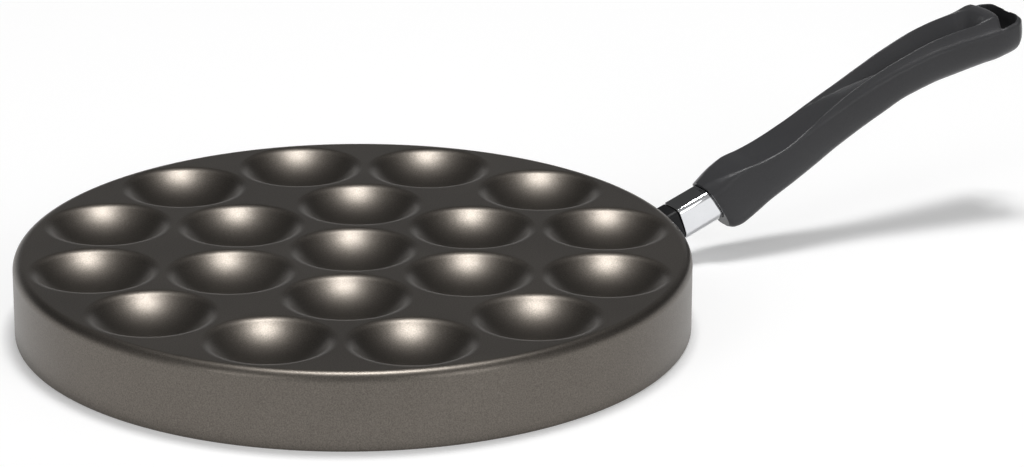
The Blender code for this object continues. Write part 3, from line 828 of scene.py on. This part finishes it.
def eye_front(across):
    """Where the eye starts behind the bridge: last in the middle, earlier at its sides."""
    return EYE_FRONT - EYE_SWEEP * (across / EYE_WIDEST) ** 2


def top_height(share, across):
    """Height of the grip's top at a share of its length and a distance from its middle."""
    across = abs(across)
    half_width, edge, rise, bank, depth = (station(name, share) for name in COLUMNS[1:6])
    rim = edge + rise + TOP_ARCH * (1 - (across / half_width) ** 2)
    up_bank = (half_width - across) / max(bank, SMALLEST)
    slope = rise * up_bank * (1 - BANK_HOLLOW + BANK_HOLLOW * up_bank)
    crease = CREASE + NOSE_CREASE * max(1 - share / NOSE_SHARE, 0.0)
    height = soft_minimum(edge + slope, rim, crease)
    x = GRIP_START + share * GRIP_LENGTH
    inside = -rounded_distance(x - TROUGH_END, across - (half_width - bank), TROUGH_CORNER)
    wall = rim - min(TROUGH_WALL_SLOPE * inside, depth)
    height = soft_minimum(height, wall, min(CREASE, depth + HAIR))
    to_eye = rounded_distance(eye_front(across) - x, across - eye_half_width(x), EYE_CORNER)
    if to_eye < EYE_ROUND:
        near = 1 - max(to_eye, 0.0) / EYE_ROUND
        height -= EYE_ROUND * (1 - math.sqrt(max(1 - near * near, 0.0)))
    return height


print("top in the middle of the trough:", round(top_height(0.75, 0.0), 5), "m above the axis")

# %% [markdown]
# An outline of the grip is its top, taken from the height map, a small round where top and side
# meet, and a full belly. Points stand close together where the trough's rim runs.

# %% Outline of the grip
BELLY_POWER = 3.0
EDGE_STEPS = 6
BELLY_STEPS = 46
BANK_STEPS = 9
RIM_STEPS = 16
FLOOR_STEPS = 22
RIM_ZONE = 0.0014
# How far in the rim may lie, and how much of the space on either side its close points may take
RIM_INNERMOST = 0.3
ZONE_OUTSIDE = 0.8
ZONE_INSIDE = 0.5


def bent(start, corner, end, steps):
    """Points on a curve from start to end that leaves and arrives in the direction of a corner."""
    points = []
    for i in range(1, steps):
        t = i / steps
        weights = ((1 - t) ** 2, 2 * t * (1 - t), t * t)
        points.append(tuple(sum(w * p[k] for w, p in zip(weights, (start, corner, end))) for k in (0, 1)))
    return points


def spread(start, end, steps):
    """Evenly spaced values from start, without the end itself."""
    return [start + (end - start) * i / steps for i in range(steps)]


def grip_ring(share):
    """One closed outline of the grip: its top, one edge, the belly and the other edge."""
    half_width, radius, under = (station(name, share) for name in ("half_width", "radius", "under"))
    reach = half_width - radius
    rim = min(max(half_width - station("bank", share), reach * RIM_INNERMOST), reach - SMALLEST)
    zone = min(RIM_ZONE, (reach - rim) * ZONE_OUTSIDE, rim * ZONE_INSIDE)
    half = (spread(reach, rim + zone, BANK_STEPS) + spread(rim + zone, rim - zone, RIM_STEPS)
            + spread(rim - zone, 0.0, FLOOR_STEPS) + [0.0])
    places = half + [-across for across in reversed(half[:-1])]
    top = [(across, top_height(share, across)) for across in places]
    edge = station("edge", share)
    slope = (top[1][1] - top[0][1]) / (top[0][0] - top[1][0])
    corner = (-half_width, top[-1][1] - slope * radius)
    left = bent(top[-1], corner, (-half_width, edge - radius), EDGE_STEPS)
    right = [(-across, up) for across, up in reversed(left)]
    depth = edge - radius - under
    belly = []
    for i in range(BELLY_STEPS + 1):
        c, s = math.cos(math.pi * i / BELLY_STEPS), math.sin(math.pi * i / BELLY_STEPS)
        across = -half_width * math.copysign(abs(c) ** (2 / BELLY_POWER), c)
        belly.append((across, edge - radius - depth * abs(s) ** (2 / BELLY_POWER)))
    x = GRIP_START + share * GRIP_LENGTH
    lean = station("lean", share)
    return [(x + lean * up, across, up) for across, up in top + left + belly + right]


print("an outline has", len(grip_ring(0.5)), "points")

# %% [markdown]
# The outlines stand at shares of the grip's length: close together at the nose, wider apart along
# the middle, and closer and closer towards the rounded end.

# %% Grip loft
# Start, end and number of outlines of each evenly spaced stretch
STRETCHES = ((0.0, 0.075, 20), (0.075, 0.26, 24), (0.26, 0.855, 84))
END_OUTLINES = 76

shares = [share for stretch in STRETCHES for share in spread(*stretch)]
end_start = STRETCHES[-1][1]
for i in range(END_OUTLINES + 1):
    shares.append(end_start + (1 - end_start) * math.sin(QUARTER * i / END_OUTLINES))
outlines = [grip_ring(share) for share in shares]
grip = lofted(outlines)
print("grip lofted through", len(outlines), "outlines of", len(outlines[0]), "points")

# %% [markdown]
# Behind the bridge a hanging eye goes right through. Its front bows round the bridge, and its
# sides and back follow the end of the grip, behind a thin rim. It narrows downwards as the belly
# does, so the rim keeps its thickness.

# %% Hanging eye
EYE_REACH = 0.030
EYE_STEPS = 40
EYE_SHARE = 0.96
# Height and share of the full width, from below upwards
EYE_NARROWING = ((-EYE_REACH, 0.52), (-0.0085, 0.52), (-0.0070, 0.63), (-0.0055, 0.74), (-0.0035, 0.85),
                 (-0.0015, 0.92), (0.0010, 0.98), (0.0030, 1.0), (EYE_REACH, 1.0))


def eye_outline():
    """The eye seen from above: a bowed front, one side, the back and the other side."""
    front = [(eye_front(across), across) for across in spread(-EYE_WIDEST, EYE_WIDEST, EYE_STEPS)]
    start = eye_front(EYE_WIDEST)
    side = []
    for i in range(EYE_STEPS + 1):
        x = start + (EYE_BACK - start) * math.sin(QUARTER * i / EYE_STEPS)
        side.append((x, eye_half_width(x)))
    return front + side + [(x, -half) for x, half in reversed(side[1:])]


lean = station("lean", EYE_SHARE)
loop = eye_outline()
combine(grip, lofted([[(x + lean * up, across * width, up) for x, across in loop]
                      for up, width in EYE_NARROWING]))
print("eye", round(EYE_BACK - EYE_FRONT, 4), "m long")

# %% [markdown]
# Inside, the nose takes the end of the flame guard, a socket takes the bracket's spigot, and a
# long stepped bore takes the screw. The screw dips four degrees below the handle's axis, so the wide
# part of its bore runs out at the underside of the grip, where a screwdriver reaches its head.

# %% Socket and screw bore
GUARD_WIDTH = 0.0134
GUARD_HEIGHT = 0.0150
GUARD_DROP = 0.0016
GUARD_WALL = 0.0010
GUARD_TOP_CORNER = 0.0024
GUARD_BOTTOM_CORNER = 0.0054
GUARD_BULGE = 0.08
GUARD_SEAT = 0.0035
SOCKET_STEPS = 8
SPIGOT_REACH = 0.0400
SCREW_LEAN = math.radians(4.0)
SCREW_RADIUS = 0.0025
SCREW_LENGTH = 0.050
SCREW_TIP = 0.0240
WASHER_SEAT = SCREW_TIP + SCREW_LENGTH
WASHER_RADIUS = 0.0045
POCKET_LENGTH = 0.060
OVERRUN = 0.010
SCREW_AXIS = (HANDLE_AXIS @ Matrix.Translation((GRIP_START, 0, 0)) @ Matrix.Rotation(SCREW_LEAN, 4, "Y")
              @ Matrix.Translation((-GRIP_START, 0, 0)))


def guard_outline(inset, steps):
    """The flame guard's outline across the axis, or one that lies inside it by an inset."""
    half_width = GUARD_WIDTH / 2 - inset
    half_height = GUARD_HEIGHT / 2 - inset
    top = max(GUARD_TOP_CORNER - inset, SMALLEST)
    bottom = max(GUARD_BOTTOM_CORNER - inset, SMALLEST)
    flat = 2 * half_height - top - bottom
    heights = [half_height - top - flat * i / steps for i in range(1, steps)]
    points = arc((half_width - top, half_height - top), top, 0, QUARTER, steps)
    points += arc((top - half_width, half_height - top), top, QUARTER, 2 * QUARTER, steps)
    points += [(-half_width, up) for up in heights]
    points += arc((bottom - half_width, bottom - half_height), bottom, 2 * QUARTER, 3 * QUARTER, steps)
    points += arc((half_width - bottom, bottom - half_height), bottom, 3 * QUARTER, 4 * QUARTER, steps)
    points += [(half_width, up) for up in reversed(heights)]
    narrowed = [(across * (1 - GUARD_BULGE * (up / half_height) ** 2), up) for across, up in points]
    return [(across, up - GUARD_DROP) for across, up in narrowed]


def prism(outline, start, end):
    """An outline of (across, up), carried along X."""
    return lofted([[(x, across, up) for across, up in outline] for x in (start, end)])


def cylinder_along_x(radius, start, end):
    """A rod on the X axis from start to end."""
    bpy.ops.mesh.primitive_cylinder_add(vertices=BORE_SIDES, radius=radius, depth=end - start)
    rod = bpy.context.object
    place(rod, Matrix.Translation(((start + end) / 2, 0, 0)) @ Matrix.Rotation(QUARTER, 4, "Y"))
    return rod


for inset, end in ((-CLEARANCE, GRIP_START + GUARD_SEAT), (GUARD_WALL, SPIGOT_REACH)):
    socket = prism(guard_outline(inset, SOCKET_STEPS), GRIP_START - OVERRUN, end + CLEARANCE)
    combine(grip, socket)
pocket_floor = WASHER_SEAT - CLEARANCE
turn_to_screw = HANDLE_AXIS.inverted() @ SCREW_AXIS
for radius, start, end in ((SCREW_RADIUS, GRIP_START, pocket_floor + SMALLEST),
                           (WASHER_RADIUS, pocket_floor, pocket_floor + POCKET_LENGTH)):
    bore = cylinder_along_x(radius + CLEARANCE, start, end)
    place(bore, turn_to_screw)
    combine(grip, bore)
place(grip, HANDLE_AXIS)
hand_over(grip, "handle", "black_phenolic")

# %% [markdown]
# The flame guard is a short chrome sleeve with a flat top, slightly bulging sides and a round belly.
# A bar of its outline is pulled out, its two ends are taken off, the wall is given its thickness,
# and the rims are rounded so that they catch a thin line of light.

# %% Flame guard
BLOCK_LENGTH = 0.0150
GUARD_START = BLOCK_LENGTH + CLEARANCE
GUARD_END = GRIP_START + GUARD_SEAT
GUARD_RIM = 0.0003
GUARD_RIM_STEPS = 4
GUARD_STEPS = 14
FACING_ALONG = 0.9
SHARP = math.radians(60)

guard = prism(guard_outline(0.0, GUARD_STEPS), GUARD_START, GUARD_END)
edit(guard, "FACE")
select(guard, lambda face: abs(face.normal.x) > FACING_ALONG, "faces")
bpy.ops.mesh.delete(type="FACE")
bpy.ops.object.mode_set(mode="OBJECT")
apply(guard, "SOLIDIFY", thickness=GUARD_WALL, offset=-1.0, use_even_offset=True)
apply(guard, "BEVEL", width=GUARD_RIM, segments=GUARD_RIM_STEPS, limit_method="ANGLE", angle_limit=SHARP)
place(guard, HANDLE_AXIS)
hand_over(guard, "flame_guard", "chrome_plate")

# %% [markdown]
# The bracket is a black casting: a foot that is curved like the skirt, a block that carries on
# from it, and a spigot that reaches through the flame guard into the grip. The foot is a bar with
# round corners, of which only the part inside a drum round the pan is kept.

# %% Foot of the bracket
FOOT_WIDTH = 0.034
FOOT_HEIGHT = 0.0185
FOOT_THICKNESS = 0.0030
FOOT_CORNER = 0.0045
FOOT_CORNER_STEPS = 8


def upright_cylinder(radius):
    """A drum round the pan's axis, taller than the pan."""
    bpy.ops.mesh.primitive_cylinder_add(vertices=ROUND_STEPS * 2, radius=radius,
                                        depth=PAN_HEIGHT + 2 * OVERRUN, location=(0, 0, PAN_HEIGHT / 2))
    drum = bpy.context.object
    place(drum, drum.matrix_world.copy())
    return drum


def foot_outline():
    """The foot as seen along the handle: a rectangle with round corners."""
    half_width = FOOT_WIDTH / 2 - FOOT_CORNER
    half_height = FOOT_HEIGHT / 2 - FOOT_CORNER
    points = []
    for quarter, (x_side, z_side) in enumerate(((1, 1), (-1, 1), (-1, -1), (1, -1))):
        corner = (x_side * half_width, z_side * half_height + AXIS_HEIGHT)
        points += arc(corner, FOOT_CORNER, quarter * QUARTER, (quarter + 1) * QUARTER, FOOT_CORNER_STEPS)
    return points


bracket = prism(foot_outline(), PAN_RADIUS - OVERRUN, PAN_RADIUS + OVERRUN)
combine(bracket, upright_cylinder(PAN_RADIUS + CLEARANCE + FOOT_THICKNESS), "INTERSECT")
print("foot", FOOT_WIDTH, "m wide and", FOOT_HEIGHT, "m high")

# %% [markdown]
# Block and spigot are two bars of the guard's outline, one a little and one well inside it. They
# are added to the foot, and a drum of the skirt's radius, the tapped hole and the rivet holes are cut
# away. The whole is then remeshed, which gives the soft inner corners of a casting.

# %% Block and spigot of the bracket
BLOCK_INSET = 0.0003
SPIGOT_INSET = GUARD_WALL + CLEARANCE
ARM_STEPS = 10
BRACKET_VOXEL = 0.00030
SOFTENING = 0.5
SOFTENING_ROUNDS = 4

from_pan_axis = Matrix.Translation(-CENTRE) @ HANDLE_AXIS
for inset, start, end in ((BLOCK_INSET, -OVERRUN, BLOCK_LENGTH),
                          (SPIGOT_INSET, BLOCK_LENGTH / 2, SPIGOT_REACH)):
    arm = prism(guard_outline(inset, ARM_STEPS), start, end)
    place(arm, from_pan_axis)
    combine(bracket, arm, "UNION")
combine(bracket, upright_cylinder(PAN_RADIUS + CLEARANCE))
place(bracket, Matrix.Translation(CENTRE))
tapped = cylinder_along_x(SCREW_RADIUS + CLEARANCE, SCREW_TIP - SCREW_RADIUS, SPIGOT_REACH + OVERRUN)
place(tapped, SCREW_AXIS)
combine(bracket, tapped)
drill_rivet_holes(bracket)
apply(bracket, "REMESH", mode="VOXEL", voxel_size=BRACKET_VOXEL)
apply(bracket, "SMOOTH", factor=SOFTENING, iterations=SOFTENING_ROUNDS)
hand_over(bracket, "handle_bracket", "black_metal", angle=SHARP)

# %% [markdown]
# The rivets are plain aluminium: a shank, a domed head outside and an upset tail inside. The dome
# is a quarter of an ellipse, wider than it is high.

# %% Rivets
RIVET_HEAD_HEIGHT = 0.0015
RIVET_TAIL_ROUND = 0.0007
RIVET_TAIL_STEPS = 5
DOME_STEPS = 10
SMALL_ROUND_STEPS = 40


def rivet():
    """A rivet standing on the skirt's outer face: tail below, shank, and the dome above."""
    inside = -SKIRT_WALL - CLEARANCE
    outside = FOOT_THICKNESS + 2 * CLEARANCE
    tail = inside - RIVET_HEAD_HEIGHT
    tail_flat = RIVET_HEAD_RADIUS - RIVET_TAIL_ROUND
    profile = [(0, tail), (tail_flat, tail)]
    profile += arc((tail_flat, tail + RIVET_TAIL_ROUND), RIVET_TAIL_ROUND, -QUARTER, 0, RIVET_TAIL_STEPS)
    profile += [(RIVET_HEAD_RADIUS, inside), (RIVET_RADIUS, inside), (RIVET_RADIUS, outside)]
    for i in range(DOME_STEPS + 1):
        turn = QUARTER * i / DOME_STEPS
        profile.append((RIVET_HEAD_RADIUS * math.cos(turn), outside + RIVET_HEAD_HEIGHT * math.sin(turn)))
    return turned(profile, SMALL_ROUND_STEPS)


for side, name in ((-1, "bracket_rivet_right"), (1, "bracket_rivet_left")):
    body = rivet()
    place(body, rivet_axis(side))
    hand_over(body, name, "rivet_metal")

# %% [markdown]
# One long screw holds it all together. Tip, ridges of the thread, shank and head are one profile
# that is turned about the screw's axis. The slotted head presses on a split lock washer and a flat
# washer at the bottom of the grip's bore.

# %% Screw
HEAD_RADIUS = 0.00425
HEAD_HEIGHT = 0.0033
HEAD_CHAMFER = 0.0002
HEAD_ROUND = 0.0009
HEAD_ROUND_STEPS = 8
SLOT_WIDTH = 0.0012
SLOT_DEPTH = 0.0016
WASHER_THICKNESS = 0.0010
LOCK_WASHER_RADIUS = 0.0042
LOCK_WASHER_THICKNESS = 0.0012
LOCK_WASHER_GAP = 0.0009
LOCK_WASHER_SEAT = WASHER_SEAT + WASHER_THICKNESS + CLEARANCE
HEAD_SEAT = LOCK_WASHER_SEAT + LOCK_WASHER_THICKNESS + CLEARANCE
THREAD_PITCH = 0.0008
THREAD_DEPTH = 0.00035
THREAD_LENGTH = 0.018
# One ridge of the thread: shares of the pitch, and 0 at its root or 1 on its crest
RIDGE = ((0.10, 0), (0.45, 1), (0.55, 1), (0.90, 0))
ALONG_SCREW = SCREW_AXIS @ Matrix.Rotation(QUARTER, 4, "Y")


def threaded_shank():
    """Chamfered tip, ridged thread and plain shank up to the head, as a turned profile."""
    root = SCREW_RADIUS - THREAD_DEPTH
    points = [(0, SCREW_TIP), (root - THREAD_DEPTH, SCREW_TIP), (root, SCREW_TIP + THREAD_DEPTH)]
    z = SCREW_TIP + THREAD_DEPTH
    while z < SCREW_TIP + THREAD_LENGTH:
        points += [(root + crest * THREAD_DEPTH, z + THREAD_PITCH * share) for share, crest in RIDGE]
        z += THREAD_PITCH
    points += [(root, z + THREAD_DEPTH), (SCREW_RADIUS, z + 2 * THREAD_DEPTH)]
    return points + [(SCREW_RADIUS, HEAD_SEAT)]


def head():
    """The underside with its broken edge, the side and the rounded top."""
    top = HEAD_SEAT + HEAD_HEIGHT
    points = [(HEAD_RADIUS - HEAD_CHAMFER, HEAD_SEAT), (HEAD_RADIUS, HEAD_SEAT + HEAD_CHAMFER)]
    points += arc((HEAD_RADIUS - HEAD_ROUND, top - HEAD_ROUND), HEAD_ROUND, 0, QUARTER, HEAD_ROUND_STEPS)
    return points + [(0, top)]


screw = turned(threaded_shank() + head(), SMALL_ROUND_STEPS)
bpy.ops.mesh.primitive_cube_add(size=1)
slot = bpy.context.object
slot.scale = (SLOT_WIDTH, 4 * HEAD_RADIUS, 2 * SLOT_DEPTH)
slot.location = (0, 0, HEAD_SEAT + HEAD_HEIGHT)
combine(screw, slot)
place(screw, ALONG_SCREW)
hand_over(screw, "handle_screw", "screw_steel")

# %% [markdown]
# The two washers are rings of rectangular section with broken edges. The lock washer is split by a
# narrow cut.

# %% Washers
WASHER_EDGE = 0.00012
WASHER_STEPS = 48


def washer(outer, thickness, bottom):
    """A ring with a broken edge at each of the four corners of its section."""
    hole = SCREW_RADIUS + CLEARANCE
    top = bottom + thickness
    profile = [(hole, bottom + WASHER_EDGE), (hole + WASHER_EDGE, bottom), (outer - WASHER_EDGE, bottom),
               (outer, bottom + WASHER_EDGE), (outer, top - WASHER_EDGE), (outer - WASHER_EDGE, top),
               (hole + WASHER_EDGE, top), (hole, top - WASHER_EDGE), (hole, bottom + WASHER_EDGE)]
    return turned(profile, WASHER_STEPS)


flat = washer(WASHER_RADIUS, WASHER_THICKNESS, WASHER_SEAT)
place(flat, ALONG_SCREW)
hand_over(flat, "screw_washer", "screw_steel")

spring = washer(LOCK_WASHER_RADIUS, LOCK_WASHER_THICKNESS, LOCK_WASHER_SEAT)
bpy.ops.mesh.primitive_cube_add(size=1)
split = bpy.context.object
split.scale = (2 * LOCK_WASHER_RADIUS, LOCK_WASHER_GAP, 4 * LOCK_WASHER_THICKNESS)
split.location = (-LOCK_WASHER_RADIUS, 0, HEAD_SEAT)
combine(spring, split)
place(spring, ALONG_SCREW)
hand_over(spring, "lock_washer", "screw_steel")
